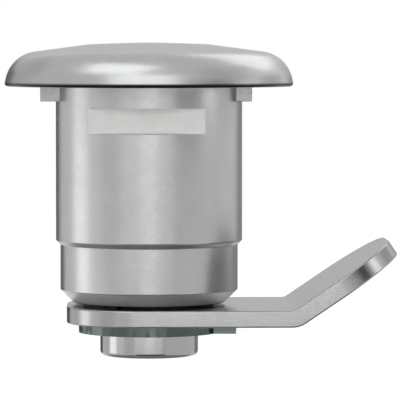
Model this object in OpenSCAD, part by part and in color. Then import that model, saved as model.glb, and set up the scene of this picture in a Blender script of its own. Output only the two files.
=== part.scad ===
// Keyed rotary cabinet lock with a cranked cam.
// The origin is on the lock's axis, in the plane where the head meets the panel.
// +Z points to the key side, and the arm of the cam points along +X when the lock is locked.
// The plug is drawn with its wafers held flush, as a key in the keyway holds them. The keyway lies along X.

/* [Head] */
// Diameter of the domed head
head_d = 29.4; // [28:0.2:34]
// Height of the dome above the panel
head_h = 4.5; // [4.2:0.1:5.5]
// Slope of the dome around the plug's face, in degrees
crown_slope = 7.3; // [4:0.1:9]
// Lean of the dome's side from the axis, in degrees
side_lean = 12; // [8:1:20]
// Round between the dome's top and its side
shoulder_r = 3.5; // [2:0.1:3.6]
// Round along the lower edge of the rim
rim_r = 0.3; // [0.2:0.05:0.6]

/* [Barrel] */
// Diameter of the barrel through the panel
barrel_d = 19; // [18.6:0.1:20]
// Length of the barrel below the head
barrel_l = 22; // [21.5:0.1:26]
// Diameter of the slimmer nose at the end of the barrel
nose_d = 18.1; // [17.5:0.1:18.5]
// Length of the nose, from the foot of its step to the end
nose_l = 5.9; // [4:0.1:8]
// Bevel at the end of the nose
nose_bevel = 1.35; // [0.5:0.05:1.4]
// Wall of the nose round the well in its end
well_wall = 2.3; // [2.1:0.1:2.4]
// Wall of the nose behind the pocket for the stop
stop_wall = 1.7; // [1.5:0.1:1.9]
// Reach of the short locating lug from the axis
lug_reach = 10.5; // [10.2:0.1:12]
// Extra reach of the lug on the other side, which keys the panel hole
lug_extra = 0.4; // [0:0.1:1]
// Width of each lug
lug_w = 6.5; // [4:0.1:8]
// Depth of each lug below the head
lug_h = 1.5; // [1:0.1:1.8]
// Distance from the panel face to the slots for the mounting clip
clip_drop = 2.1; // [2:0.1:4]
// Height of the clip slots
clip_h = 2.6; // [1.5:0.1:3]
// Distance from the axis to the flat floor of each clip slot
clip_flat = 7.45; // [7.1:0.05:8]

/* [Plug] */
// Diameter of the plug's face in the dome
face_d = 11.4; // [11.2:0.1:12]
// Thickness of the plug's head
face_t = 2.6; // [2:0.1:3]
// Fall of the plug's face from its middle to its edge
face_fall = 0.2; // [0:0.05:0.4]
// Diameter of the plug's body
plug_d = 10.4; // [10.2:0.1:10.8]
// Diameter of the plug's rear journal
journal_d = 9.8; // [9.6:0.1:10]
// Width of the square tail that drives the cam
tail_w = 6.9; // [6.2:0.1:6.9]
// Thickness of the web that carries the journal
web_t = 2; // [1:0.1:2.4]
// Depth of the well in the end of the barrel
well_h = 2.4; // [2:0.1:3.2]
// Full length of the keyway's mouth
key_l = 7.6; // [7:0.1:8]
// Width of the keyway
key_w = 2.2; // [1.8:0.1:2.3]

/* [Wafers] */
// Number of wafers
wafer_n = 6; // [4:1:6]
// Distance from one wafer to the next
wafer_pitch = 2.4; // [2.2:0.1:2.5]
// Depth of the first wafer below the panel face
wafer_first = 1; // [0.6:0.1:1.4]
// Thickness of a wafer
wafer_t = 0.9; // [0.7:0.05:1]
// Width of a wafer between its guides
wafer_w = 4.4; // [4:0.1:4.6]
// Travel of a wafer out of the plug
wafer_throw = 0.5; // [0.3:0.05:0.6]
// Height of the window that the key passes through
window_l = 6.2; // [5.6:0.1:6.4]
// Outer diameter of a wafer spring
spring_d = 1; // [0.8:0.05:1]
// Diameter of the spring wire
spring_wire = 0.2; // [0.14:0.02:0.2]
// Number of turns of a wafer spring
spring_turns = 5; // [3:1:5]

/* [Rear fittings] */
// Thickness of the shim behind the web
shim_t = 0.3; // [0.2:0.05:0.4]
// Thickness of the retaining ring
ring_t = 0.8; // [0.6:0.05:0.9]
// Depth of the groove that the retaining ring sits in
ring_groove = 0.45; // [0.3:0.05:0.5]
// Turning angle of the cam, in degrees
turn_angle = 90; // [60:5:120]
// Gap between the end of the barrel and the cam
cam_gap = 0.25; // [0.2:0.05:0.5]

/* [Cam] */
// Thickness of the cam's sheet
cam_t = 1.7; // [1.2:0.1:2]
// Width of the cam
cam_w = 18.5; // [16:0.5:20]
// Radius of the cam's corners
cam_corner_r = 7.1; // [5:0.1:7.8]
// Distance from the axis to the rounded end of the hub
hub_reach = 8.4; // [8:0.1:10]
// Distance from the axis to the bend
bend_x = 14.1; // [12:0.1:16]
// Angle of the cranked arm, in degrees
arm_angle = 34; // [20:1:45]
// Radius inside the bend
bend_r = 0.8; // [0.4:0.1:2]
// Length of the arm beyond the bend
arm_l = 11.7; // [9:0.1:16]
// Turn of the cam on its square tail, within the play of its hole, in degrees
cam_set = 3; // [0:0.5:4]

/* [Cam fastening] */
// Diameter of the tab washer
washer_d = 14.4; // [13:0.1:16]
// Thickness of the tab washer
washer_t = 1.1; // [0.8:0.1:1.6]
// Reach of the washer's tab from the axis
tab_reach = 8.9; // [8.5:0.1:11]
// Width of the washer's tab
tab_w = 5.6; // [4:0.1:7]
// Diameter of the cam screw's head
screw_head_d = 10; // [9:0.1:11]
// Height of the cam screw's head
screw_head_h = 2.4; // [2.1:0.05:3.2]
// Diameter of the cam screw's thread
screw_d = 5; // [4:0.5:5]
// Length of the cam screw under its head
screw_l = 8; // [6:0.5:8]
// Width across the flats of the screw's socket
socket_w = 4; // [3:0.5:5]

/* [Hidden] */
$fn = 64;

// Running gap beside a turning or sliding face
run_gap = 0.05;
// Overshoot of a cut past the surface that it opens
cut = 0.5;

head_r = head_d / 2;
barrel_r = barrel_d / 2;
nose_r = nose_d / 2;
face_r = face_d / 2;
plug_r = plug_d / 2;
journal_r = journal_d / 2;
face_edge_z = head_h - face_fall;
seat_z = head_h - face_t;
edge_bevel = 0.15;

// Heights of the stack on the plug's rear end, from the web to the screw's head
end_z = -barrel_l;
well_z = end_z + well_h;
web_z = well_z + web_t;
shim_z = well_z - run_gap - shim_t;
ring_z = shim_z - run_gap - ring_t;
shoulder_z = ring_z - 2 * run_gap;
cam_z = end_z - cam_gap;
washer_z = cam_z - cam_t;
screw_z = washer_z - washer_t;
tail_z = washer_z + 4 * run_gap;
stop_t = shoulder_z - cam_z;
cam_hole_w = tail_w * (cos(cam_set) + sin(cam_set)) + 2 * run_gap;

// The well and the pocket in its wall where the tab of the stop disc travels
well_r = nose_r - well_wall;
pocket_r = nose_r - stop_wall;
stop_tab_angle = 40;
stop_tab_middle = 225;
stop_slack = 0.5;

// The wafers, their slots in the plug and their grooves in the barrel
wafer_r = plug_r - run_gap;
slot_w = wafer_w + 2 * run_gap;
slot_t = wafer_t + 2 * run_gap;
window_w = key_w + 0.3;
bitting = [0.3, -0.2, 0.45, 0, -0.4, 0.15];
foot_y = 0.9;
foot_l = 1.4;
foot_w = spring_d + 2 * run_gap;
pocket_w = foot_w + 2 * run_gap;
pocket_t = spring_d + 6 * run_gap;
pocket_y = -2.6;
last_wafer = wafer_first + (wafer_n - 1) * wafer_pitch;
groove_w = slot_w + 4 * run_gap;
groove_reach = wafer_r + wafer_throw + run_gap;
groove_end = last_wafer + wafer_t;
key_tip = last_wafer + wafer_t / 2 + 1;
spring_x = slot_w / 2 + pocket_w / 2;
spring_l = foot_y - pocket_y - 2 * run_gap;

// The thread is drawn as a plain shank in a plain hole
screw_r = screw_d / 2;
thread_end = screw_z + screw_l + cut;

function unit(v) = v / norm(v);

// Points of a round of radius r at p, between the lines to a and to b
function round_corner(a, p, b, r, n = 8) =
    let (u = unit(a - p), v = unit(b - p), half = acos(u * v) / 2, turn = 180 - 2 * half)
    let (c = p + unit(u + v) * r / sin(half))
    let (first = p + u * r / tan(half) - c, last = p + v * r / tan(half) - c)
    [for (i = [0 : n]) c + (sin((n - i) / n * turn) * first + sin(i / n * turn) * last) / sin(turn)];

// Radius of the rim's corner before it is rounded, so that the round reaches the head's radius
rim_corner_r = head_r - rim_r + rim_r * (1 + sin(side_lean)) / cos(side_lean);
// Corner where the dome's top slope meets its leaning side
dome_corner = let (s = tan(crown_slope), t = tan(side_lean))
    let (z = (face_edge_z - (rim_corner_r - face_r) * s) / (1 - s * t)) [rim_corner_r - z * t, z];

module sector(r, from, to) {
    middle = (from + to) / 2;
    intersection() {
        circle(r);
        polygon([[0, 0], for (a = [from, middle, to]) 3 * r * [cos(a), sin(a)]]);
    }
}

module ring(outer, inner) difference() {
    circle(outer);
    circle(inner);
}

// Turn of the keyway and the wafers, which are drawn along Y, so that they lie along X
key_turn = -90;

// Places a wafer's part at its height, every second one turned about
module at_wafer(i) translate([0, 0, -wafer_first - i * wafer_pitch])
    rotate(key_turn + 180 * (i % 2)) children();

module housing_outline() polygon(concat(
    [[0, end_z], [nose_r - nose_bevel, end_z], [nose_r, end_z + nose_bevel]],
    [[nose_r, end_z + nose_l], [barrel_r, end_z + nose_l + barrel_r - nose_r], [barrel_r, 0]],
    round_corner([barrel_r, 0], [rim_corner_r, 0], dome_corner, rim_r, 4),
    round_corner([rim_corner_r, 0], dome_corner, [face_r, face_edge_z], shoulder_r),
    [[face_r + run_gap + edge_bevel, face_edge_z], [0, face_edge_z]]));

module lug(reach) translate([0, -lug_w / 2, -lug_h]) cube([reach, lug_w, lug_h + rim_r]);

module clip_slot() translate([-barrel_d, clip_flat, -clip_drop - clip_h])
    cube([2 * barrel_d, barrel_d, clip_h]);

// Bore for the plug's face, its body and its journal, and the well for the rear fittings
module plug_bore() rotate_extrude() polygon([
    [0, end_z - cut], [well_r, end_z - cut], [well_r, well_z],
    [journal_r + run_gap, well_z], [journal_r + run_gap, web_z],
    [plug_r + run_gap, web_z], [plug_r + run_gap, seat_z - run_gap],
    [face_r + run_gap, seat_z - run_gap], [face_r + run_gap, face_edge_z - edge_bevel],
    [face_r + run_gap + edge_bevel + cut, face_edge_z + cut], [0, face_edge_z + cut]]);

module wafer_groove() translate([0, -groove_w / 2, -groove_end])
    cube([groove_reach, groove_w, groove_end + seat_z - run_gap]);

module stop_pocket() {
    spread = stop_tab_angle / 2 + stop_slack;
    translate([0, 0, end_z - cut]) linear_extrude(shoulder_z + 2 * run_gap - end_z + cut)
        sector(pocket_r, stop_tab_middle - spread, stop_tab_middle + spread + turn_angle);
}

module housing() color([0.72, 0.73, 0.72]) difference() {
    union() {
        rotate_extrude() housing_outline();
        lug(lug_reach);
        rotate(180) lug(lug_reach + lug_extra);
    }
    plug_bore();
    stop_pocket();
    for (a = [0 : 90 : 270]) rotate(a) wafer_groove();
    for (a = [0, 180]) rotate(a) clip_slot();
}

// Stepped keyway: a full-length slot on one side and a shorter one on the other
module keyway() rotate(key_turn) translate([0, 0, -key_tip]) linear_extrude(key_tip + head_h + cut) {
    translate([-key_w / 2, -key_l / 2]) square([key_w * 0.55, key_l]);
    translate([-key_w / 2, -key_l * 0.3]) square([key_w, key_l * 0.65]);
}

module wafer_slot() {
    cube([slot_w, plug_d + cut, slot_t], center = true);
    translate([0, pocket_y, -pocket_t / 2]) cube([slot_w / 2 + pocket_w, plug_d, pocket_t]);
}

module plug() color([0.7, 0.7, 0.66]) difference() {
    union() {
        rotate_extrude() polygon([
            [0, shoulder_z], [journal_r, shoulder_z], [journal_r, ring_z - run_gap / 2],
            [journal_r - ring_groove, ring_z - run_gap / 2],
            [journal_r - ring_groove, ring_z + ring_t + run_gap / 2],
            [journal_r, ring_z + ring_t + run_gap / 2],
            [journal_r, web_z + run_gap], [plug_r, web_z + run_gap], [plug_r, seat_z],
            [face_r, seat_z], [face_r, face_edge_z - edge_bevel],
            [face_r - edge_bevel, face_edge_z], [0, head_h]]);
        translate([-tail_w / 2, -tail_w / 2, tail_z])
            cube([tail_w, tail_w, shoulder_z - tail_z]);
    }
    keyway();
    for (i = [0 : wafer_n - 1]) at_wafer(i) wafer_slot();
    translate([0, 0, tail_z - cut]) cylinder(r = screw_r, h = thread_end - tail_z + cut);
}

module wafer(i) color([0.8, 0.68, 0.4]) at_wafer(i)
    translate([0, 0, -wafer_t / 2]) linear_extrude(wafer_t) difference() {
        union() {
            intersection() {
                circle(wafer_r);
                square([wafer_w, 2 * wafer_r], center = true);
            }
            translate([0, foot_y]) square([slot_w / 2 + foot_w, foot_l]);
        }
        translate([0, bitting[i]]) square([window_w, window_l], center = true);
    }

// Open coil of round wire: rings of six points swept along the helix, capped at both ends
module wafer_spring(i) {
    steps = 8 * spring_turns;
    coil_r = (spring_d - spring_wire) / 2;
    rise = (spring_l - spring_wire) / spring_turns / 360;
    lean = atan(rise * 180 / PI / coil_r);
    rings = [for (k = [0 : steps])
        let (a = 45 * k, out = [cos(a), sin(a), 0])
        let (up = [sin(a) * sin(lean), -cos(a) * sin(lean), cos(lean)])
        [for (b = [0 : 60 : 300])
            coil_r * out + [0, 0, spring_wire / 2 + rise * a]
            + spring_wire / 2 * (cos(b) * out + sin(b) * up)]];
    sides = [for (k = [0 : steps - 1], j = [0 : 5])
        let (p = 6 * k + j, q = 6 * k + (j + 1) % 6) each [[p, p + 6, q + 6], [p, q + 6, q]]];
    caps = [for (j = [1 : 4]) each
        [[0, j, j + 1], [6 * steps, 6 * steps + j + 1, 6 * steps + j]]];
    echo(spring_gap = rise * 360 * cos(lean) - spring_wire);
    color([0.8, 0.8, 0.82]) at_wafer(i)
        translate([spring_x, pocket_y + run_gap, 0]) rotate([-90, 0, 0])
            polyhedron([for (r = rings) each r], concat(sides, caps));
}

module shim_washer() color([0.6, 0.6, 0.6]) translate([0, 0, shim_z])
    linear_extrude(shim_t) ring(well_r - 4 * run_gap, journal_r + run_gap);

// Snap ring with two eared ends, which a pair of pliers spreads
module retaining_ring() {
    inner = journal_r - ring_groove + run_gap;
    outer = journal_r + 1;
    ear = 0.75;
    ear_x = 0.5 + ear;
    ear_at = [ear_x, -sqrt(pow(well_r - 4 * run_gap - ear, 2) - pow(ear_x, 2))];
    color([0.45, 0.45, 0.45]) translate([0, 0, ring_z]) linear_extrude(ring_t) difference() {
        union() {
            circle(outer);
            for (side = [-1, 1]) translate([side * ear_at.x, ear_at.y]) circle(ear);
        }
        circle(inner);
        translate([-0.5, -2 * outer]) square([1, 2 * outer]);
        for (side = [-1, 1]) translate([side * ear_at.x, ear_at.y]) circle(ear * 0.4, $fn = 24);
    }
}

module stop_disc() color([0.5, 0.5, 0.5]) translate([0, 0, cam_z]) linear_extrude(stop_t)
    difference() {
        union() {
            circle(well_r - 4 * run_gap);
            sector(pocket_r - 3 * run_gap, stop_tab_middle - stop_tab_angle / 2,
                stop_tab_middle + stop_tab_angle / 2);
        }
        square(tail_w + 2 * run_gap, center = true);
    }

function reverse(points) = [for (i = [len(points) - 1 : -1 : 0]) points[i]];

// Side view of the cam's face at a depth below its top, from the hub's end to the arm's
function cam_face(depth) =
    let (r = bend_r + depth, axis = [bend_x, cam_z + bend_r])
    let (along = [cos(arm_angle), sin(arm_angle)], down = [sin(arm_angle), -cos(arm_angle)])
    let (start = [-hub_reach, axis.y - r], corner = axis + r * [tan(arm_angle / 2), -1])
    let (end = axis + arm_l * along + r * down)
    concat([start], round_corner(start, corner, end, r, 6), [end]);

// Cuts the round corners of a strip of the cam's width that ends at x = reach
module end_corners(reach) for (side = [0, 1]) mirror([0, side, 0])
    linear_extrude(2 * (bend_r + cam_t + cut), center = true) polygon(concat(
        [[reach - cam_corner_r, cam_w / 2 + cut], [reach + cut, cam_w / 2 + cut],
            [reach + cut, cam_w / 2 - cam_corner_r]],
        round_corner([reach, 0], [reach, cam_w / 2], [0, cam_w / 2], cam_corner_r, 12)));

// Cranked plate: a flat hub, a bend about an axis along Y, and the rising arm
module cam() color([0.68, 0.69, 0.68]) rotate(cam_set) difference() {
    rotate([90, 0, 0]) linear_extrude(cam_w, center = true)
        polygon(concat(cam_face(0), reverse(cam_face(cam_t))));
    rotate(180) translate([0, 0, cam_z]) end_corners(hub_reach);
    translate([bend_x, 0, cam_z + bend_r]) rotate([0, -arm_angle, 0]) end_corners(arm_l);
    translate([0, 0, cam_z - cam_t / 2])
        cube([cam_hole_w, cam_hole_w, cam_t + 2 * cut], center = true);
}

module tab_washer() color([0.4, 0.43, 0.41]) translate([0, 0, washer_z - washer_t])
    linear_extrude(washer_t) difference() {
        union() {
            circle(washer_d / 2);
            translate([0, -tab_w / 2]) square([tab_reach, tab_w]);
        }
        circle(screw_r + 3 * run_gap);
    }

module cam_screw() {
    head_r = screw_head_d / 2;
    foot_z = screw_z - screw_head_h;
    color([0.7, 0.71, 0.7]) difference() {
        union() {
            rotate_extrude() polygon(concat(
                [[0, foot_z]],
                round_corner([0, foot_z], [head_r, foot_z], [head_r, screw_z], 0.5, 4),
                [[head_r, screw_z], [0, screw_z]]));
            translate([0, 0, screw_z]) cylinder(r = screw_r - run_gap, h = screw_l);
        }
        translate([0, 0, foot_z - cut])
            cylinder(d = socket_w / cos(30), h = screw_head_h * 0.65 + cut, $fn = 6);
    }
}

housing();
plug();
for (i = [0 : wafer_n - 1]) {
    wafer(i);
    wafer_spring(i);
}
shim_washer();
retaining_ring();
stop_disc();
cam();
tab_washer();
cam_screw();
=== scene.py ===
"""Studio scene of a keyed rotary cabinet lock with a cranked cam.

The pieces that show are modelled here in millimetres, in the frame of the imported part, and are
scaled to metres when they are finished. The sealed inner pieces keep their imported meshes.
"""

import logging
import math
from abc import ABC, abstractmethod
from dataclasses import dataclass
from enum import Enum
from typing import Any, Callable, Iterable, Mapping, Optional, Sequence, Union

import bpy
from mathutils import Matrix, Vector

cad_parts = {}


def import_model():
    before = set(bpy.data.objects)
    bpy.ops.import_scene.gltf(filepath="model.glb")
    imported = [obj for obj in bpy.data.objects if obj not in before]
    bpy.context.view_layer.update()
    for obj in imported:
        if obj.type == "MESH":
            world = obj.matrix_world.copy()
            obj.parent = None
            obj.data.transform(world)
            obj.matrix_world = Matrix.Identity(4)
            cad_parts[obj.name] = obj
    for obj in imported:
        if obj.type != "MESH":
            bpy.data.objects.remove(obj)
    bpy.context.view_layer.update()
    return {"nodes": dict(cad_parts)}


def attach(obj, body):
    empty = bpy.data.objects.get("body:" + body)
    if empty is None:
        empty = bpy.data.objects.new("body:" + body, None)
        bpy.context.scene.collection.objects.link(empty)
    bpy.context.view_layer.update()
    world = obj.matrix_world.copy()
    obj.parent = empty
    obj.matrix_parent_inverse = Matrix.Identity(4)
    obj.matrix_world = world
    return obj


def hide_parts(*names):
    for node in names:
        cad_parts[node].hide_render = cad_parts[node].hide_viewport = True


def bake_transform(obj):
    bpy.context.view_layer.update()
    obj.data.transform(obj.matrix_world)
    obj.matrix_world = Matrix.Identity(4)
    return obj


MM = 0.001
# Points on each turned ring
AROUND = 192
# Points closer than this are welded, in millimetres
WELD = 0.002
# Edges flatter than this are shaded smooth, in degrees
SMOOTH_ANGLE = 36.0
# Edges sharper than this get a rounded edge, in degrees
SHARP_ANGLE = 50.0
# Weight of the larger faces in the normals along their edges, where 50 is even
FACE_WEIGHT = 60
# How far the foot of a cutting tool stands past the piece, in millimetres
PAST = 1.0
# Rounds with a larger radius than this, in millimetres, are drawn with more chords
LARGE_ROUND = 1.0
SMALL_CHORDS, LARGE_CHORDS = 3, 14

Point = tuple[float, float]
Corner = tuple[float, float, float]
Colour = tuple[float, float, float]
Value = Union["Term", float]

log = logging.getLogger("cabinet_lock")


class Body(Enum):
    """Moving bodies that the pieces ride on."""

    HOUSING = "housing"
    ROTOR = "rotor"


class Cut(Enum):
    """What a tool does to the piece that it meets."""

    TAKE_OUT = "DIFFERENCE"
    JOIN = "UNION"


def arc_corner(before: Point, corner: Point, after: Point, radius: float,
               steps: int) -> list[Point]:
    """Rounds one corner of an outline.

    Args:
        before: Point ahead of the corner.
        corner: The sharp corner.
        after: Point past the corner.
        radius: Radius of the round.
        steps: Number of chords along the round.

    Returns:
        The points of the round, from the first line to the second.
    """
    p = Vector(corner)
    u = (Vector(before) - p).normalized()
    v = (Vector(after) - p).normalized()
    half = math.acos(max(-1.0, min(1.0, u.dot(v)))) / 2
    centre = p + (u + v).normalized() * radius / math.sin(half)
    first = p + u * radius / math.tan(half) - centre
    last = p + v * radius / math.tan(half) - centre
    turn = math.pi - 2 * half
    points = []
    for i in range(steps + 1):
        t = i / steps
        arm = math.sin((1 - t) * turn) * first + math.sin(t * turn) * last
        place = centre + arm / math.sin(turn)
        points.append((place.x, place.y))
    return points


def soften(outline: Sequence[Union[Point, Corner]]) -> list[Point]:
    """Rounds the corners of a closed outline.

    Args:
        outline: Points (r, z), or (r, z, radius) where the corner is rounded.

    Returns:
        The outline with every round drawn as points.
    """
    points: list[Point] = []
    for i, entry in enumerate(outline):
        here = (entry[0], entry[1])
        if len(entry) == 2:
            points.append(here)
            continue
        before, after = outline[i - 1], outline[(i + 1) % len(outline)]
        steps = LARGE_CHORDS if entry[2] > LARGE_ROUND else SMALL_CHORDS
        points += arc_corner(before[:2], here, after[:2], entry[2], steps)
    return points


class Bench:
    """Makes and shapes one mesh at a time, in millimetres."""

    @staticmethod
    def take(piece: bpy.types.Object) -> None:
        """Selects one object alone and makes it the active one."""
        bpy.ops.object.select_all(action="DESELECT")
        piece.select_set(True)
        bpy.context.view_layer.objects.active = piece

    @staticmethod
    def settle() -> None:
        """Writes the active object's place and scale into its mesh."""
        bpy.ops.object.transform_apply(location=True, rotation=True, scale=True)

    @staticmethod
    def pick(piece: bpy.types.Object, wanted: Callable[[Vector], bool]) -> None:
        """Selects, in edit mode, the points of a mesh by their place.

        Args:
            piece: The object that is in edit mode.
            wanted: Says of a point's place whether it is selected.
        """
        bpy.ops.mesh.select_all(action="DESELECT")
        bpy.ops.object.mode_set(mode="OBJECT")
        for vertex in piece.data.vertices:
            vertex.select = wanted(vertex.co)
        bpy.ops.object.mode_set(mode="EDIT")
        bpy.ops.mesh.select_mode(type="VERT")

    def turn(self, name: str, outline: Sequence[Point], hollow: bool) -> bpy.types.Object:
        """Turns an outline about Z by extruding a ring from point to point.

        Args:
            name: Name of the new piece.
            outline: Points (r, z); a last radius of 0 ends in a point on the axis.
            hollow: Whether the last ring is bridged to the first, or both ends are capped.

        Returns:
            The turned piece.
        """
        radius, height = outline[0]
        bpy.ops.object.select_all(action="DESELECT")
        bpy.ops.mesh.primitive_circle_add(vertices=AROUND, radius=radius, location=(0, 0, height))
        piece = bpy.context.object
        piece.name = name
        self.settle()
        bpy.ops.object.mode_set(mode="EDIT")
        bpy.ops.mesh.select_all(action="SELECT")
        for r, z in outline[1:]:
            bpy.ops.mesh.extrude_region_move(TRANSFORM_OT_translate={"value": (0, 0, z - height)})
            if r == 0:
                bpy.ops.mesh.merge(type="CENTER")
                break
            grow = r / radius
            bpy.ops.transform.resize(value=(grow, grow, 1), center_override=(0, 0, z))
            radius, height = r, z
        bpy.ops.mesh.select_all(action="DESELECT")
        bpy.ops.mesh.select_non_manifold()
        if hollow:
            bpy.ops.mesh.bridge_edge_loops()
        else:
            bpy.ops.mesh.fill_holes(sides=0)
        self.face_out()
        bpy.ops.object.mode_set(mode="OBJECT")
        return piece

    @staticmethod
    def face_out() -> None:
        """Turns every face of the mesh in edit mode outwards."""
        bpy.ops.mesh.select_all(action="SELECT")
        bpy.ops.mesh.normals_make_consistent(inside=False)

    def flip(self, piece: bpy.types.Object) -> None:
        """Turns every face of a piece over."""
        self.take(piece)
        bpy.ops.object.mode_set(mode="EDIT")
        bpy.ops.mesh.select_all(action="SELECT")
        bpy.ops.mesh.flip_normals()
        bpy.ops.object.mode_set(mode="OBJECT")

    def block(self, low: Corner, high: Corner, round_edges: float = 0.0) -> bpy.types.Object:
        """Makes a box between two corners, with rounded edges where asked.

        Args:
            low: Lowest corner.
            high: Highest corner.
            round_edges: Radius of the edges.

        Returns:
            The box.
        """
        centre = [(a + b) / 2 for a, b in zip(low, high)]
        size = [b - a for a, b in zip(low, high)]
        bpy.ops.object.select_all(action="DESELECT")
        bpy.ops.mesh.primitive_cube_add(size=1, location=centre, scale=size)
        box = bpy.context.object
        self.settle()
        if round_edges:
            bpy.ops.object.mode_set(mode="EDIT")
            bpy.ops.mesh.select_all(action="SELECT")
            bpy.ops.mesh.bevel(offset=round_edges, segments=3, affect="EDGES")
            bpy.ops.object.mode_set(mode="OBJECT")
        return box

    def rod(self, radius: float, low: float, high: float, sides: int = AROUND) -> bpy.types.Object:
        """Makes an upright rod on the axis.

        Args:
            radius: Radius to its corners.
            low: Height of its foot.
            high: Height of its top.
            sides: Number of its sides.

        Returns:
            The rod.
        """
        bpy.ops.object.select_all(action="DESELECT")
        bpy.ops.mesh.primitive_cylinder_add(
            vertices=sides, radius=radius, depth=high - low, location=(0, 0, (low + high) / 2)
        )
        self.settle()
        return bpy.context.object

    def spin_by(self, piece: bpy.types.Object, degrees: float) -> bpy.types.Object:
        """Turns a piece about Z and writes the turn into its mesh."""
        self.take(piece)
        piece.rotation_euler = (0, 0, math.radians(degrees))
        self.settle()
        return piece

    def apply(self, piece: bpy.types.Object, kind: str, **settings: Any) -> None:
        """Adds a modifier with its settings and applies it.

        Args:
            piece: The object that it changes.
            kind: Blender's type of modifier.
            **settings: Its properties.
        """
        self.take(piece)
        modifier = piece.modifiers.new(kind.title(), kind)
        for key, value in settings.items():
            setattr(modifier, key, value)
        bpy.ops.object.modifier_apply(modifier=modifier.name)

    def cut(self, piece: bpy.types.Object, tool: bpy.types.Object,
            how: Cut = Cut.TAKE_OUT) -> None:
        """Cuts a tool out of a piece, or joins it on, and removes the tool."""
        self.apply(piece, "BOOLEAN", operation=how.value, solver="EXACT", object=tool)
        bpy.data.objects.remove(tool)

    def finish(self, piece: bpy.types.Object, edge: float, steps: int = 2) -> None:
        """Rounds the sharp edges, smooths the shading and scales the mesh to metres.

        Args:
            piece: The modelled piece.
            edge: Radius of the sharp edges.
            steps: Number of strips along each rounded edge.
        """
        self.apply(piece, "WELD", merge_threshold=WELD)
        self.apply(
            piece, "BEVEL", width=edge, segments=steps, limit_method="ANGLE",
            angle_limit=math.radians(SHARP_ANGLE), miter_outer="MITER_ARC",
        )
        self.take(piece)
        bpy.ops.object.shade_smooth_by_angle(angle=math.radians(SMOOTH_ANGLE))
        self.apply(piece, "WEIGHTED_NORMAL", keep_sharp=True, weight=FACE_WEIGHT)
        self.take(piece)
        piece.scale = (MM, MM, MM)
        self.settle()
        log.info("%s: %d faces", piece.name, len(piece.data.polygons))


BENCH = Bench()


class Term:
    """A value in a node tree, with arithmetic that adds Math nodes."""

    def __init__(self, desk: "Desk", socket: bpy.types.NodeSocket) -> None:
        """Wraps an output socket of the desk's node tree."""
        self.desk = desk
        self.socket = socket

    def math(self, operation: str, *others: Value, flip: bool = False) -> "Term":
        """Adds a Math node.

        Args:
            operation: Its operation.
            *others: Its further inputs.
            flip: Whether this value comes after the first other one.

        Returns:
            The node's result.
        """
        values: list[Value] = [self, *others]
        if flip:
            values[0], values[1] = values[1], values[0]
        return self.desk.node("ShaderNodeMath", {"operation": operation}, dict(enumerate(values)))

    def __add__(self, other: Value) -> "Term":
        """Sum of two values."""
        return self.math("ADD", other)

    def __rsub__(self, other: Value) -> "Term":
        """Another value less this one."""
        return self.math("SUBTRACT", other, flip=True)

    def __mul__(self, other: Value) -> "Term":
        """Product of two values."""
        return self.math("MULTIPLY", other)

    def __pow__(self, other: Value) -> "Term":
        """This value to a power."""
        return self.math("POWER", other)

    def rise(self, start: float, end: float) -> "Term":
        """Eases from 0 at start to 1 at end."""
        return self.desk.node("ShaderNodeMapRange", {"interpolation_type": "SMOOTHSTEP"},
                              {"Value": self, "From Min": start, "From Max": end})


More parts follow.
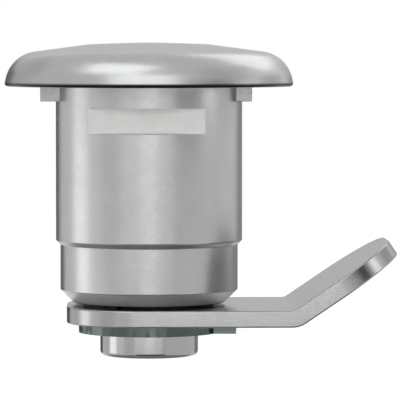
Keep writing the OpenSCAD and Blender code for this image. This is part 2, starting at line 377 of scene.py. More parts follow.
class Desk:
    """Node tree of one finish, on the object's own coordinates in millimetres."""

    noise_roughness = 0.55

    def __init__(self, name: str) -> None:
        """Starts a material with a Principled shader."""
        self.material = bpy.data.materials.new(name)
        self.material.use_nodes = True
        self.tree = self.material.node_tree
        self.shader = self.tree.nodes["Principled BSDF"]
        place = Term(self, self.tree.nodes.new("ShaderNodeTexCoord").outputs["Object"])
        self.place = self.node("ShaderNodeVectorMath", {"operation": "SCALE"},
                               {0: place, "Scale": 1 / MM}, out="Vector")

    def node(self, kind: str, settings: Mapping[str, Any], inputs: Mapping[Union[str, int], Any],
             out: Union[str, int] = 0) -> Term:
        """Adds any node.

        Args:
            kind: Blender's type of node.
            settings: Its properties, which are set first.
            inputs: Values or terms for its sockets.
            out: The socket that is returned.

        Returns:
            One output of the node.
        """
        made = self.tree.nodes.new(kind)
        for key, value in settings.items():
            setattr(made, key, value)
        for key, value in inputs.items():
            self.feed(made.inputs[key], value)
        return Term(self, made.outputs[out])

    def feed(self, socket: bpy.types.NodeSocket, value: Any) -> None:
        """Links a term to a socket, or writes a plain value there."""
        if isinstance(value, Term):
            self.tree.links.new(value.socket, socket)
        elif isinstance(value, tuple) and len(value) == 3 and socket.type == "RGBA":
            socket.default_value = (*value, 1)
        else:
            socket.default_value = value

    def axes(self) -> tuple[Term, Term, Term]:
        """Returns the place along X, Y and Z, in millimetres."""
        parts = self.tree.nodes.new("ShaderNodeSeparateXYZ")
        self.feed(parts.inputs[0], self.place)
        return tuple(Term(self, output) for output in parts.outputs)

    def stretched(self, along: Corner) -> Term:
        """Returns the place, stretched by a factor along each axis."""
        return self.node("ShaderNodeVectorMath", {"operation": "MULTIPLY"},
                         {0: self.place, 1: along}, out="Vector")

    def noise(self, scale: float, detail: float = 2.0, place: Optional[Term] = None) -> Term:
        """Returns noise from 0 to 1 with scale features a millimetre."""
        inputs = {"Vector": place or self.place, "Scale": scale, "Detail": detail,
                  "Roughness": self.noise_roughness}
        return self.node("ShaderNodeTexNoise", {}, inputs, out="Fac")

    def blend(self, mask: Value, low: Any, high: Any) -> Term:
        """Mixes two colours by a mask."""
        # A Mix node has its sockets for colours at 6 and 7, and its mixed colour at 2
        return self.node("ShaderNodeMix", {"data_type": "RGBA"}, {0: mask, 6: low, 7: high}, out=2)

    def bump(self, height: Term, depth: float) -> Term:
        """Returns the normal of a height from 0 to 1 that stands a depth in millimetres."""
        inputs = {"Height": height, "Distance": depth * MM, "Strength": 1.0}
        return self.node("ShaderNodeBump", {}, inputs, out="Normal")

    def shade(self, **inputs: Any) -> bpy.types.Material:
        """Feeds the shader's sockets, named with underscores, and returns the material."""
        for key, value in inputs.items():
            self.feed(self.shader.inputs[key.replace("_", " ").title()], value)
        return self.material


@dataclass(frozen=True)
class Metal:
    """Plain metal whose tone, gloss and grain vary a little over the surface."""

    name: str
    light: Colour
    dark: Colour
    gloss: float
    gloss_spread: float = 0.06
    patch: float = 0.35
    grain: float = 9.0
    grain_depth: float = 0.002
    brushed: Corner = (1.0, 1.0, 1.0)

    def tone(self, desk: Desk) -> Term:
        """Returns the colour, in broad soft patches."""
        return desk.blend(desk.noise(self.patch, 3.0).rise(0.3, 0.7), self.dark, self.light)

    def roughness(self, desk: Desk) -> Term:
        """Returns the roughness, which varies in finer patches."""
        lowest = self.gloss - self.gloss_spread
        return desk.noise(self.patch * 4, 3.0) * (2 * self.gloss_spread) + lowest

    def grain_height(self, desk: Desk) -> Term:
        """Returns the height of the grain, drawn out along the brushed direction."""
        return desk.noise(self.grain, 1.0, desk.stretched(self.brushed))

    def material(self) -> bpy.types.Material:
        """Returns the finished material."""
        desk = Desk(self.name)
        return desk.shade(base_color=self.tone(desk), metallic=1.0, roughness=self.roughness(desk),
                          normal=desk.bump(self.grain_height(desk), self.grain_depth))


@dataclass
class Housing:
    """Die-cast housing: domed head, two lugs, barrel with clip slots, and nose.

    Sizes are in millimetres and angles in degrees. Names in _r are radii and names in _z heights.
    """

    head_r: float = 14.7
    shoulder_r: float = 3.5
    rim_r: float = 0.3
    face_r: float = 5.7
    face_edge_z: float = 4.3
    seat_z: float = 1.9
    crown_slope: float = 7.3
    side_lean: float = 12.0
    barrel_r: float = 9.5
    nose_r: float = 9.05
    end_z: float = -22.0
    nose_l: float = 5.9
    nose_bevel: float = 1.35
    plug_r: float = 5.2
    journal_r: float = 4.9
    web_z: float = -17.6
    well_z: float = -19.6
    well_r: float = 6.75
    gap: float = 0.05
    edge: float = 0.12
    step_round: float = 0.25
    step_edge: float = 0.1
    mouth_bevel: Point = (0.15, 0.2)
    lug_w: float = 6.5
    lug_h: float = 1.5
    lug_reach: float = 10.5
    lug_extra: float = 0.4
    lug_root: float = 0.6
    lug_bury: float = 0.15
    lug_edge: float = 0.06
    slot_top: float = -2.1
    slot_foot: float = -4.7
    slot_flat: float = 7.45
    tool_reach: float = 15.0
    groove_w: float = 4.7
    groove_reach: float = 5.7
    groove_end: float = -13.9
    pocket_r: float = 7.35
    pocket_from: float = 204.5
    pocket_to: float = 335.5
    pocket_z: float = -20.8

    def outline(self) -> list[Point]:
        """Returns the turned outline, up the outside and down the bore."""
        side, slope = math.radians(self.side_lean), math.tan(math.radians(self.crown_slope))
        lean = math.tan(side)
        # The rim's corner before it is rounded, and the corner between the crown and the side
        corner_r = self.head_r - self.rim_r + self.rim_r * (1 + math.sin(side)) / math.cos(side)
        crown_z = (self.face_edge_z - (corner_r - self.face_r) * slope) / (1 - slope * lean)
        bore, hole = self.plug_r + self.gap, self.journal_r + self.gap
        face, step = self.face_r + self.gap, self.barrel_r - self.nose_r
        nose_z = self.end_z + self.nose_l
        return soften([
            (self.nose_r - self.nose_bevel, self.end_z, self.edge),
            (self.nose_r, self.end_z + self.nose_bevel, self.edge),
            (self.nose_r, nose_z, self.step_edge),
            (self.barrel_r, nose_z + step, self.step_round),
            (self.barrel_r, 0.0),
            (corner_r, 0.0, self.rim_r),
            (corner_r - crown_z * lean, crown_z, self.shoulder_r),
            (face + self.mouth_bevel[0], self.face_edge_z, self.edge),
            (face, self.face_edge_z - self.mouth_bevel[1]),
            (face, self.seat_z - self.gap),
            (bore, self.seat_z - self.gap),
            (bore, self.web_z),
            (hole, self.web_z),
            (hole, self.well_z),
            (self.well_r, self.well_z),
            (self.well_r, self.end_z, self.edge),
        ])

    def stop_pocket(self) -> bpy.types.Object:
        """Returns the tool for the pocket in the well's wall, a rod trimmed to a sector."""
        tool = BENCH.rod(self.pocket_r, self.end_z - PAST, self.pocket_z)
        bpy.ops.object.mode_set(mode="EDIT")
        for degrees, side in ((self.pocket_from, 1), (self.pocket_to, -1)):
            angle = math.radians(degrees)
            normal = (-side * math.sin(angle), side * math.cos(angle), 0)
            bpy.ops.mesh.select_all(action="SELECT")
            bpy.ops.mesh.bisect(plane_co=(0, 0, 0), plane_no=normal, use_fill=True,
                                clear_inner=True)
        BENCH.face_out()
        bpy.ops.object.mode_set(mode="OBJECT")
        return tool

    def build(self) -> bpy.types.Object:
        """Returns the finished housing."""
        piece = BENCH.turn("lock_housing", self.outline(), hollow=True)
        half, root = self.lug_w / 2, self.barrel_r - self.lug_root
        for left, right in ((-self.lug_reach - self.lug_extra, -root), (root, self.lug_reach)):
            low, high = (left, -half, -self.lug_h), (right, half, self.lug_bury)
            BENCH.cut(piece, BENCH.block(low, high, self.lug_edge), Cut.JOIN)
        far = self.tool_reach
        for low, high in ((-far, -self.slot_flat), (self.slot_flat, far)):
            BENCH.cut(piece, BENCH.block((-far, low, self.slot_foot), (far, high, self.slot_top)))
        reach, width = self.groove_reach, self.groove_w / 2
        top = self.seat_z - self.gap
        for x, y in ((reach, width), (width, reach)):
            BENCH.cut(piece, BENCH.block((-x, -y, self.groove_end), (x, y, top)))
        BENCH.cut(piece, self.stop_pocket())
        BENCH.finish(piece, edge=0.06)
        return piece


@dataclass(frozen=True)
class PlatedCasting(Metal):
    """Satin plating: turned outside, cast in the clip slots and on the lugs; painted light in the
    clip slots and on the bevel, painted shade at the rim's foot and the nose's end.
    """

    outer: float = Housing.barrel_r
    slot_top: float = Housing.slot_top
    slot_foot: float = Housing.slot_foot
    # Lighter tone in the clip slots: painted light, standing in for light that the recess under
    # the head does not get
    slot_painted_light: Colour = (0.48, 0.485, 0.475)
    cast_gloss: float = 0.36
    cast_depth: float = 0.018
    pits: float = 4.5
    nose_end: float = Housing.end_z
    bevel_foot_r: float = Housing.nose_r - Housing.nose_bevel - 0.1
    bevel_top: float = Housing.end_z + Housing.nose_bevel - 0.01
    # Lighter tone on the nose's bevel: painted light, standing in for light that the bevel, facing
    # the cam, does not get
    bevel_painted_light: Colour = (0.7, 0.71, 0.69)
    bevel_gloss: float = 0.42
    bevel_fade: Point = (0.05, 0.08)
    rim_inner_r: float = Housing.head_r - 0.4
    # Under this height the rim's foot is painted dark: painted shade and painted reflection of the
    # dark under the rim
    rim_shade_height: float = 0.5
    rim_fade: Point = (0.15, 0.26)
    # Under this height over the nose's end the nose is painted dark: painted shadow of the gap
    # above the cam
    nose_shade_height: float = 0.13
    nose_fade: float = 0.1
    # Near-black colour of the painted shade at the rim's foot and the nose's end
    painted_shade_tone: Colour = (0.02, 0.02, 0.02)
    # A mask changes between these distances from the edge that it follows
    near: float = 0.02
    far: float = 0.06
    head_foot: Point = (-0.06, -0.01)

    def masks(self, desk: Desk) -> tuple[Term, Term, Term, Term]:
        """Returns where the surface is in a clip slot, on a lug, under painted shade, and on the
        bevel.
        """
        x, y, z = desk.axes()
        reach = (x * x + y * y) ** 0.5
        near, far = self.near, self.far
        on_head = z.rise(*self.head_foot)

        inside = 1 - reach.rise(self.outer - far, self.outer - near)
        over_foot = z.rise(self.slot_foot - near, self.slot_foot + near)
        under_top = 1 - z.rise(self.slot_top - near, self.slot_top + near)
        in_slot = inside * over_foot * under_top
        on_lug = reach.rise(self.outer + near, self.outer + far) * (1 - on_head)

        across, up = self.rim_fade
        on_rim = reach.rise(self.rim_inner_r, self.rim_inner_r + across) * on_head
        # Painted shade: the rim's foot is darkened as if it mirrored the dark and the shadow under
        # the head
        rim_painted_shade = on_rim * (1 - z.rise(self.rim_shade_height - up, self.rim_shade_height))
        # Painted shadow: the nose's end is darkened as the gap over the cam is
        nose_shade_top = self.nose_end + self.nose_shade_height
        nose_painted_shade = 1 - z.rise(nose_shade_top - self.nose_fade, nose_shade_top)

        across, up = self.bevel_fade
        below_step = 1 - z.rise(self.bevel_top - up, self.bevel_top)
        on_bevel = reach.rise(self.bevel_foot_r, self.bevel_foot_r + across) * below_step
        return in_slot, on_lug, rim_painted_shade + nose_painted_shade, on_bevel

    def material(self) -> bpy.types.Material:
        """Returns the finished material."""
        desk = Desk(self.name)
        in_slot, on_lug, painted_shade_mask, on_bevel = self.masks(desk)
        cast = in_slot + on_lug
        fine = desk.bump(self.grain_height(desk), self.grain_depth)
        coarse = desk.bump(desk.noise(self.pits, 4.0) * cast, self.cast_depth)
        desk.feed(coarse.socket.node.inputs["Normal"], fine)
        gloss = self.roughness(desk) + cast * (self.cast_gloss - self.gloss)
        # Painted light: the clip slots get a lighter tone
        tone = desk.blend(in_slot, self.tone(desk), self.slot_painted_light)
        # Painted light: the nose's bevel gets a lighter tone
        tone = desk.blend(on_bevel, tone, self.bevel_painted_light)
        # Painted shade: the rim's foot and the nose's end turn near-black
        tone = desk.blend(painted_shade_mask, tone, self.painted_shade_tone)
        gloss = gloss + on_bevel * (self.bevel_gloss - self.gloss)
        return desk.shade(base_color=tone, metallic=1.0, roughness=gloss, normal=coarse)


class Finishes:
    """Every finish of the lock, made once and shared by the pieces that have it."""

    BODY = PlatedCasting("satin_nickel_casting", (0.398, 0.406, 0.4), (0.378, 0.386, 0.38), 0.29,
                         grain=1.6, grain_depth=0.0015, brushed=(0.15, 0.15, 5.0))
    PLUG = Metal("satin_nickel_plug", (0.41, 0.415, 0.4), (0.39, 0.395, 0.385), 0.25,
                 grain=1.6, grain_depth=0.003, brushed=(6.0, 6.0, 0.3))
    CAM = Metal("zinc_plated_sheet", (0.312, 0.312, 0.309), (0.292, 0.292, 0.289), 0.22,
                grain=3.0, grain_depth=0.003, brushed=(0.12, 3.0, 3.0))
    WASHER = Metal("polished_washer_steel", (0.078, 0.094, 0.088), (0.066, 0.08, 0.074), 0.14,
                   grain_depth=0.0006)
    SCREW = Metal("zinc_plated_screw", (0.34, 0.34, 0.335), (0.32, 0.32, 0.315), 0.16,
                  grain=1.6, grain_depth=0.001, brushed=(0.2, 0.2, 8.0))
    BRASS = Metal("stamped_brass", (0.78, 0.56, 0.26), (0.68, 0.48, 0.21), 0.3,
                  grain=3.0, grain_depth=0.002, brushed=(0.2, 3.0, 3.0))
    DARK = Metal("phosphated_spring_steel", (0.03, 0.03, 0.029), (0.02, 0.02, 0.02), 0.5,
                 grain_depth=0.003)
    WIRE = Metal("bright_spring_wire", (0.62, 0.62, 0.63), (0.54, 0.54, 0.55), 0.2,
                 grain_depth=0.0005)

    def __init__(self) -> None:
        """Starts with no material made."""
        self.made: dict[str, bpy.types.Material] = {}

    def dress(self, piece: bpy.types.Object, metal: Metal) -> bpy.types.Object:
        """Gives a piece one finish all over and returns it."""
        if metal.name not in self.made:
            self.made[metal.name] = metal.material()
        piece.data.materials.clear()
        piece.data.materials.append(self.made[metal.name])
        return piece


def place_piece(piece: bpy.types.Object, body: Body, node: str) -> None:
    """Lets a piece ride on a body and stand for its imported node.

    Args:
        piece: The finished piece.
        body: The body that carries it.
        node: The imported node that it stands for.
    """
    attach(piece, body.value)
    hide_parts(node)
    log.info("%s stands for %s on %s", piece.name, node, body.value)


@dataclass
class Plug:
    """Plug with its keyed face, wafer slots, ring groove and square tail."""

    face_r: float = Housing.face_r
    head_h: float = 4.5
    face_edge_z: float = Housing.face_edge_z
    seat_z: float = Housing.seat_z
    plug_r: float = Housing.plug_r
    journal_r: float = Housing.journal_r
    groove_r: float = 4.45
    shoulder_low: float = Housing.web_z + Housing.gap
    edge: float = 0.12
    face_bevel: Point = (0.15, 0.03)
    ring_low: float = -20.8
    ring_high: float = -19.95
    shoulder_z: float = -20.9
    tail_z: float = -23.75
    tail_w: float = 6.9
    tail_root: float = 0.5
    tail_edge: float = 0.15
    key_w: float = 2.2
    key_l: float = 7.6
    key_thin: float = 0.1
    key_wide: Point = (0.3, 0.35)
    key_tip: float = -14.45
    tool_top: float = 9.0
    hole_sides: int = 64
    slot_w: float = 4.5
    slot_t: float = 1.0
    slot_past: float = 0.25
    pocket_w: float = 1.2
    pocket_t: float = 1.3
    pocket_end: float = -2.6
    screw_r: float = 2.5
    screw_end: float = -16.55

    def keyway(self, left: float, right: float, across: float) -> bpy.types.Object:
        """Returns the tool for one step of the keyway.

        Args:
            left: Its end towards -X, as a share of the keyway's length.
            right: Its end towards +X, as a share of the length.
            across: Its side towards -Y, as a share of half the width.
        """
        half, length = self.key_w / 2, self.key_l
        low = (-length * left, -half * across, self.key_tip)
        return BENCH.block(low, (length * right, half, self.tool_top))

    def wafer_slots(self) -> Iterable[bpy.types.Object]:
        """Yields the tools for the slots and spring pockets of the wafers."""
        for i in range(Tumblers.count):
            z = Tumblers.height(i)
            side = 1 if i % 2 == 0 else -1
            half, reach = self.slot_w / 2, self.plug_r + self.slot_past
            thick = self.slot_t / 2
            yield BENCH.block((-reach, -half, z - thick), (reach, half, z + thick))
            xs = sorted((side * self.pocket_end, side * (self.pocket_end + 2 * self.plug_r)))
            ys = sorted((0.0, -side * (half + self.pocket_w)))
            thick = self.pocket_t / 2
            yield BENCH.block((xs[0], ys[0], z - thick), (xs[1], ys[1], z + thick))

    def build(self) -> bpy.types.Object:
        """Returns the finished plug."""
        across, down = self.face_bevel
        piece = BENCH.turn("lock_plug", soften([
            (self.journal_r, self.shoulder_z), (self.journal_r, self.ring_low),
            (self.groove_r, self.ring_low), (self.groove_r, self.ring_high),
            (self.journal_r, self.ring_high), (self.journal_r, self.shoulder_low),
            (self.plug_r, self.shoulder_low), (self.plug_r, self.seat_z),
            (self.face_r, self.seat_z), (self.face_r, self.face_edge_z - down, self.edge),
            (self.face_r - across, self.face_edge_z, self.edge), (0.0, self.head_h),
        ]), hollow=False)
        half, root = self.tail_w / 2, self.shoulder_z + self.tail_root
        tail = BENCH.block((-half, -half, self.tail_z), (half, half, root), self.tail_edge)
        BENCH.cut(piece, tail, Cut.JOIN)
        BENCH.cut(piece, self.keyway(0.5, 0.5, self.key_thin))
        BENCH.cut(piece, self.keyway(*self.key_wide, 1.0))
        for tool in self.wafer_slots():
            BENCH.cut(piece, tool)
        foot = self.tail_z - PAST
        BENCH.cut(piece, BENCH.rod(self.screw_r, foot, self.screw_end, self.hole_sides))
        BENCH.finish(piece, edge=0.07)
        return piece


@dataclass
class Tumblers:
    """Wafers in the plug and the coil springs that drive them out."""

    count: int = 6
    first: float = -1.0
    pitch: float = 2.4
    coil_r: float = 0.4
    wire_r: float = 0.1
    wire_sides: int = 8
    turns: int = 5
    steps_a_turn: int = 16
    offset: float = 2.85
    fixed_end: float = -2.55
    foot_end: float = 0.85

    @classmethod
    def height(cls, i: int) -> float:
        """Returns the height of wafer i, counted from 0."""
        return cls.first - i * cls.pitch

    def spring(self, i: int) -> bpy.types.Object:
        """Models one coil: a round of wire is screwed up along the coil's axis.

        Args:
            i: Number of its wafer, counted from 0.

        Returns:
            The spring beside that wafer.
        """
        length = self.foot_end - self.fixed_end
        rise = (length - 2 * self.wire_r) / self.turns
        lean = math.atan(rise / (2 * math.pi * self.coil_r))
        bpy.ops.object.select_all(action="DESELECT")
        bpy.ops.mesh.primitive_circle_add(
            vertices=self.wire_sides, radius=self.wire_r, location=(self.coil_r, 0, self.wire_r),
            rotation=(math.pi / 2 + lean, 0, 0),
        )
        piece = bpy.context.object
        piece.name = f"coil_spring_{i + 1}"
        BENCH.settle()
        steps = self.steps_a_turn * self.turns
        BENCH.apply(
            piece, "SCREW", angle=2 * math.pi * self.turns, screw_offset=rise * self.turns,
            steps=steps, render_steps=steps, axis="Z", use_smooth_shade=True,
        )
        bpy.ops.object.mode_set(mode="EDIT")
        bpy.ops.mesh.select_all(action="DESELECT")
        bpy.ops.mesh.select_non_manifold()
        bpy.ops.mesh.fill_holes(sides=0)
        BENCH.face_out()
        bpy.ops.object.mode_set(mode="OBJECT")
        side = 1 if i % 2 == 0 else -1
        piece.rotation_euler = (0, side * math.pi / 2, 0)
        piece.location = (side * self.fixed_end, -side * self.offset, self.height(i))
        BENCH.settle()
        piece.scale = (MM, MM, MM)
        BENCH.settle()
        return piece

    def build(self, nodes: Mapping[str, bpy.types.Object], finishes: Finishes) -> None:
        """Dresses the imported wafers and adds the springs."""
        for i in range(self.count):
            wafer = f"wafer_{i + 1}"
            finishes.dress(nodes[wafer], Finishes.BRASS)
            coil = self.spring(i)
            finishes.dress(coil, Finishes.WIRE)
            side = MM if i % 2 == 0 else -MM
            at = (-side * self.offset, self.height(i) * MM)
            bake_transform(coil)
            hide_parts(f"wafer_spring_{i + 1}")
            log.info("%s stretches between the plug and %s", coil.name, wafer)


@dataclass
class Cam:
    """Cranked cam of stamped sheet: level hub, bend and rising arm."""

    top: float = -22.25
    sheet: float = 1.7
    width: float = 18.5
    corner_r: float = 7.1
    hub_reach: float = 8.4
    bend_x: float = 14.1
    bend_r: float = 0.8
    arm_angle: float = 34.0
    arm_l: float = 11.7
    hole_w: float = 7.35
    set_angle: float = 3.0
    bend_steps: int = 8
    corner_steps: int = 20

    def build(self) -> bpy.types.Object:
        """Returns the finished cam."""
        bpy.ops.object.select_all(action="DESELECT")
        middle = (self.bend_x - self.hub_reach) / 2
        bpy.ops.mesh.primitive_plane_add(size=1, location=(middle, 0, self.top))
        piece = bpy.context.object
        piece.name = "lock_cam"
        piece.scale = (self.bend_x + self.hub_reach, self.width, 1)
        BENCH.settle()
        bpy.ops.object.mode_set(mode="EDIT")
        BENCH.pick(piece, lambda place: place.x > 0)
        rise, pivot = math.radians(self.arm_angle), (self.bend_x, 0, self.top + self.bend_r)
        step = rise / self.bend_steps
        for _ in range(self.bend_steps):
            bpy.ops.mesh.extrude_region_move(TRANSFORM_OT_translate={"value": (0, 0, 0)})
            bpy.ops.transform.rotate(value=step, orient_axis="Y", center_override=pivot)
        arm = (self.arm_l * math.cos(rise), 0, self.arm_l * math.sin(rise))
        bpy.ops.mesh.extrude_region_move(TRANSFORM_OT_translate={"value": arm})
        tip, heel = self.bend_x + arm[0], WELD - self.hub_reach
        BENCH.pick(piece, lambda place: place.x > tip or place.x < heel)
        bpy.ops.mesh.bevel(offset=self.corner_r, segments=self.corner_steps, affect="VERTICES",
                           clamp_overlap=False)
        BENCH.face_out()
        bpy.ops.object.mode_set(mode="OBJECT")
        # The sheet grows against its faces' normals, so they have to look up
        if piece.data.polygons[0].normal.z < 0:
            BENCH.flip(piece)
        BENCH.apply(piece, "SOLIDIFY", thickness=self.sheet, offset=-1, use_even_offset=True)
        half, foot = self.hole_w / 2, self.top - self.sheet - PAST
        BENCH.cut(piece, BENCH.block((-half, -half, foot), (half, half, self.top + PAST)))
        BENCH.spin_by(piece, self.set_angle)
        BENCH.finish(piece, edge=0.15, steps=3)
        return piece


@dataclass
class CamFastening:
    """Tab washer and socket screw that clamp the cam on the plug's tail."""

    washer_top: float = -23.95
    washer_t: float = 1.1
    washer_r: float = 7.2
    hole_r: float = 2.65
    tab_reach: float = 8.9
    tab_root: float = 1.5
    tab_w: float = 5.6
    head_r: float = 5.0
    head_h: float = 2.4
    head_round: float = 0.5
    head_edge: float = 0.1
    point: float = 0.5
    shank_r: float = 2.45
    screw_l: float = 8.0
    socket_w: float = 4.0
    socket_depth: float = 0.65

    def washer(self) -> bpy.types.Object:
        """Returns the washer with its tab along the arm."""
        top, foot, half = self.washer_top, self.washer_top - self.washer_t, self.tab_w / 2
        piece = BENCH.turn("cam_washer", [
            (self.hole_r, foot), (self.washer_r, foot), (self.washer_r, top), (self.hole_r, top),
        ], hollow=True)
        root = self.washer_r - self.tab_root
        BENCH.cut(piece, BENCH.block((root, -half, foot), (self.tab_reach, half, top)), Cut.JOIN)
        BENCH.finish(piece, edge=0.1)
        return piece

    def screw(self) -> bpy.types.Object:
        """Returns the screw with its hexagon socket."""
        seat = self.washer_top - self.washer_t
        foot, tip = seat - self.head_h, seat + self.screw_l
        piece = BENCH.turn("cam_fixing_screw", soften([
            (self.head_r / 2, foot), (self.head_r, foot, self.head_round),
            (self.head_r, seat, self.head_edge), (self.shank_r, seat),
            (self.shank_r, tip - self.point), (self.shank_r - self.point, tip),
        ]), hollow=False)
        corner_r, floor = self.socket_w / math.sqrt(3), foot + self.head_h * self.socket_depth
        BENCH.cut(piece, BENCH.rod(corner_r, foot - PAST, floor, sides=6))
        BENCH.finish(piece, edge=0.08)
        return piece


@dataclass(frozen=True)
class Panel(ABC):
    """Rectangle that faces the lock, placed by its angles from the camera's side."""

    name: str
    azimuth: float
    elevation: float
    distance: float
    width: float
    height: float
    level: float

    def stand(self, panel: bpy.types.Object, centre: Vector) -> None:
        """Puts the panel in its place, with its front towards the lock."""
        back = direction(self.azimuth, self.elevation)
        panel.location = centre + back * self.distance
        panel.rotation_mode = "QUATERNION"
        panel.rotation_quaternion = back.to_track_quat("Z", "Y")
        panel.visible_camera = False

    @abstractmethod
    def build(self, centre: Vector) -> None:
        """Adds the panel around the centre."""


class Softbox(Panel):
    """Lamp whose level is the brightness that the metal shows of it."""

    def build(self, centre: Vector) -> None:
        """Adds the lamp."""
        data = bpy.data.lights.new(self.name, "AREA")
        data.shape = "RECTANGLE"
        data.size, data.size_y = self.width, self.height
        data.energy = self.level * math.pi * self.width * self.height
        lamp = bpy.data.objects.new(self.name, data)
        bpy.context.scene.collection.objects.link(lamp)
        self.stand(lamp, centre)


class Card(Panel):
    """Grey card that only the metal reflects, as a photographer darkens an edge with one."""

    def build(self, centre: Vector) -> None:
        """Adds the card, whose level is the brightness that the metal shows of it."""
        bpy.ops.object.select_all(action="DESELECT")
        bpy.ops.mesh.primitive_plane_add(size=1)
        card = bpy.context.object
        card.name = self.name
        card.scale = (self.width, self.height, 1)
        self.stand(card, centre)
        BENCH.settle()
        card.visible_diffuse = card.visible_shadow = False
        material = bpy.data.materials.new(self.name)
        material.use_nodes = True
        nodes, links = material.node_tree.nodes, material.node_tree.links
        nodes.remove(nodes["Principled BSDF"])
        glow = nodes.new("ShaderNodeEmission")
        glow.inputs["Strength"].default_value = self.level
        links.new(glow.outputs[0], nodes["Material Output"].inputs["Surface"])
        card.data.materials.append(material)


def direction(azimuth: float, elevation: float) -> Vector:
    """Returns the unit vector towards an azimuth from -Y and an elevation, in degrees."""
    a, e = math.radians(azimuth), math.radians(elevation)
    return Vector((math.sin(a) * math.cos(e), -math.cos(a) * math.cos(e), math.sin(e)))


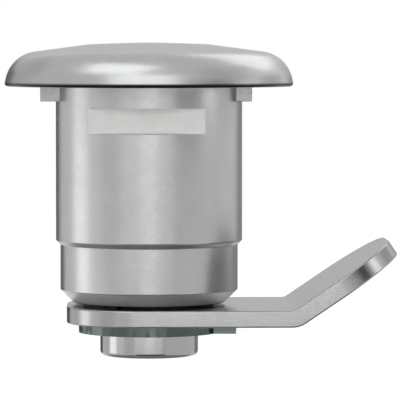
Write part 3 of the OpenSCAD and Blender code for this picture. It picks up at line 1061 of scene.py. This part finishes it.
@dataclass
class Studio:
    """Pale floor, soft light and the camera."""

    centre: Corner = (0.0052, 0.0, -0.0116)
    distance: float = 0.338
    azimuth: float = 1.1
    elevation: float = 2.71
    focal_pixels: float = 3312.0
    frame_pixels: float = 400.0
    # The floor lies this low so that the cards below the lock stand above it
    floor_z: float = -0.3
    floor_size: float = 60.0
    floor_tone: Colour = (0.8, 0.8, 0.8)
    floor_glow: float = 1.2
    floor_white: float = 0.75
    sky: float = 0.66
    # Name, azimuth, elevation, distance, width, height and level of each panel
    panels: tuple[Panel, ...] = (
        Softbox("key", -4, 27, 0.5, 0.46, 0.24, 1.2),
        Softbox("top", -36, 59, 0.5, 0.36, 0.3, 1.4),
        Softbox("back_right", 142, 42, 0.5, 0.36, 0.26, 1.05),
        Softbox("right_wide", 122, 18, 0.6, 0.5, 0.4, 0.25),
        Softbox("left", -93, -7, 0.6, 0.24, 0.16, 1.2),
        Softbox("left_wide", -80, -6, 0.65, 0.5, 0.18, 0.3),
        Softbox("front", 2, -1.4, 0.6, 0.2, 0.08, 0.95),
        Softbox("front_wide", 0, -2.8, 0.62, 0.8, 0.12, 0.6),
        Card("card_left", -131, 24, 0.9, 0.66, 0.62, 0.78),
        Card("card_back_left", -153, 0, 0.8, 0.38, 0.4, 0.1),
        Card("card_back", 180, 6, 0.9, 1.1, 0.5, 0.7),
        Card("card_back_right", 158, -5, 0.8, 0.6, 0.3, 0.35),
        Card("card_right", 66, 33, 0.9, 0.4, 0.6, 0.8),
        Card("card_low_front", 5, -25, 0.44, 0.55, 0.2, 0.04),
        Card("card_below", 0, -90, 0.2, 0.5, 0.5, 0.4),
        # These three stand so close that little more than the arm's end mirrors them
        Card("card_tip_dark", 46, 15.5, 0.081, 0.046, 0.022, 0.0),
        Card("card_tip_bright", 77, 15.5, 0.0625, 0.015, 0.011, 2.8),
        Card("card_tip_end", 110, 18.5, 0.0616, 0.03, 0.02, 0.8),
    )

    def camera(self) -> None:
        """Adds the camera at the photograph's distance and angles."""
        data = bpy.data.cameras.new("camera")
        data.sensor_width = 36.0
        data.lens = self.focal_pixels / self.frame_pixels * data.sensor_width
        data.clip_start, data.clip_end = 0.01, 20.0
        camera = bpy.data.objects.new("camera", data)
        bpy.context.scene.collection.objects.link(camera)
        back = direction(self.azimuth, self.elevation)
        camera.location = Vector(self.centre) + back * self.distance
        camera.rotation_mode = "QUATERNION"
        camera.rotation_quaternion = (-back).to_track_quat("-Z", "Y")
        bpy.context.scene.camera = camera

    @staticmethod
    def seen(nodes: bpy.types.Nodes, links: bpy.types.NodeLinks) -> bpy.types.NodeSocket:
        """Returns 1 for rays of the camera and of mirror-like and clear surfaces, else 0."""
        path = nodes.new("ShaderNodeLightPath")
        result = path.outputs["Is Camera Ray"]
        for kind in ("Is Glossy Ray", "Is Transmission Ray"):
            most = nodes.new("ShaderNodeMath")
            most.operation = "MAXIMUM"
            links.new(result, most.inputs[0])
            links.new(path.outputs[kind], most.inputs[1])
            result = most.outputs[0]
        return result

    def world(self) -> None:
        """Makes a world that camera and metal see white, and that lights the floor softly."""
        world = bpy.data.worlds.new("studio")
        bpy.context.scene.world = world
        world.use_nodes = True
        nodes, links = world.node_tree.nodes, world.node_tree.links
        background = nodes["Background"]
        level = nodes.new("ShaderNodeMix")
        level.inputs[2].default_value = self.sky
        level.inputs[3].default_value = 1.0
        links.new(self.seen(nodes, links), level.inputs[0])
        links.new(level.outputs[0], background.inputs["Strength"])
        background.inputs["Color"].default_value = (1, 1, 1, 1)

    def floor(self) -> None:
        """Adds the pale floor, which turns white to the camera and keeps the shadow."""
        bpy.ops.object.select_all(action="DESELECT")
        bpy.ops.mesh.primitive_plane_add(size=self.floor_size, location=(0, 0, self.floor_z))
        floor = bpy.context.object
        floor.name = "studio_floor"
        BENCH.settle()
        material = bpy.data.materials.new("pale_floor")
        material.use_nodes = True
        nodes, links = material.node_tree.nodes, material.node_tree.links
        nodes.remove(nodes["Principled BSDF"])
        matt, glow = nodes.new("ShaderNodeBsdfDiffuse"), nodes.new("ShaderNodeEmission")
        mix = nodes.new("ShaderNodeMixShader")
        share = nodes.new("ShaderNodeMath")
        share.operation = "MULTIPLY"
        share.inputs[1].default_value = self.floor_white
        matt.inputs["Color"].default_value = (*self.floor_tone, 1)
        glow.inputs["Strength"].default_value = self.floor_glow
        links.new(self.seen(nodes, links), share.inputs[0])
        links.new(share.outputs[0], mix.inputs[0])
        links.new(matt.outputs[0], mix.inputs[1])
        links.new(glow.outputs[0], mix.inputs[2])
        links.new(mix.outputs[0], nodes["Material Output"].inputs["Surface"])
        floor.data.materials.append(material)

    def build(self) -> None:
        """Sets the stage."""
        bpy.context.scene.view_settings.view_transform = "Standard"
        self.camera()
        self.world()
        self.floor()
        for panel in self.panels:
            panel.build(Vector(self.centre))


def main() -> None:
    """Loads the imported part, builds every piece around it and sets the stage."""
    logging.basicConfig(level=logging.INFO, format="%(name)s: %(message)s")
    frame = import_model()
    nodes, finishes = frame["nodes"], Finishes()

    housing = finishes.dress(Housing().build(), Finishes.BODY)
    place_piece(housing, Body.HOUSING, "housing")
    plug = finishes.dress(Plug().build(), Finishes.PLUG)
    place_piece(plug, Body.ROTOR, "plug")
    Tumblers().build(nodes, finishes)

    cam = finishes.dress(Cam().build(), Finishes.CAM)
    place_piece(cam, Body.ROTOR, "cam")
    fastening = CamFastening()
    washer = finishes.dress(fastening.washer(), Finishes.WASHER)
    screw = finishes.dress(fastening.screw(), Finishes.SCREW)
    place_piece(washer, Body.ROTOR, "tab_washer")
    place_piece(screw, Body.ROTOR, "cam_screw")

    for name in ("shim_washer", "retaining_ring", "stop_disc"):
        finishes.dress(nodes[name], Finishes.DARK)

    Studio().build()


if __name__ == "__main__":
    main()
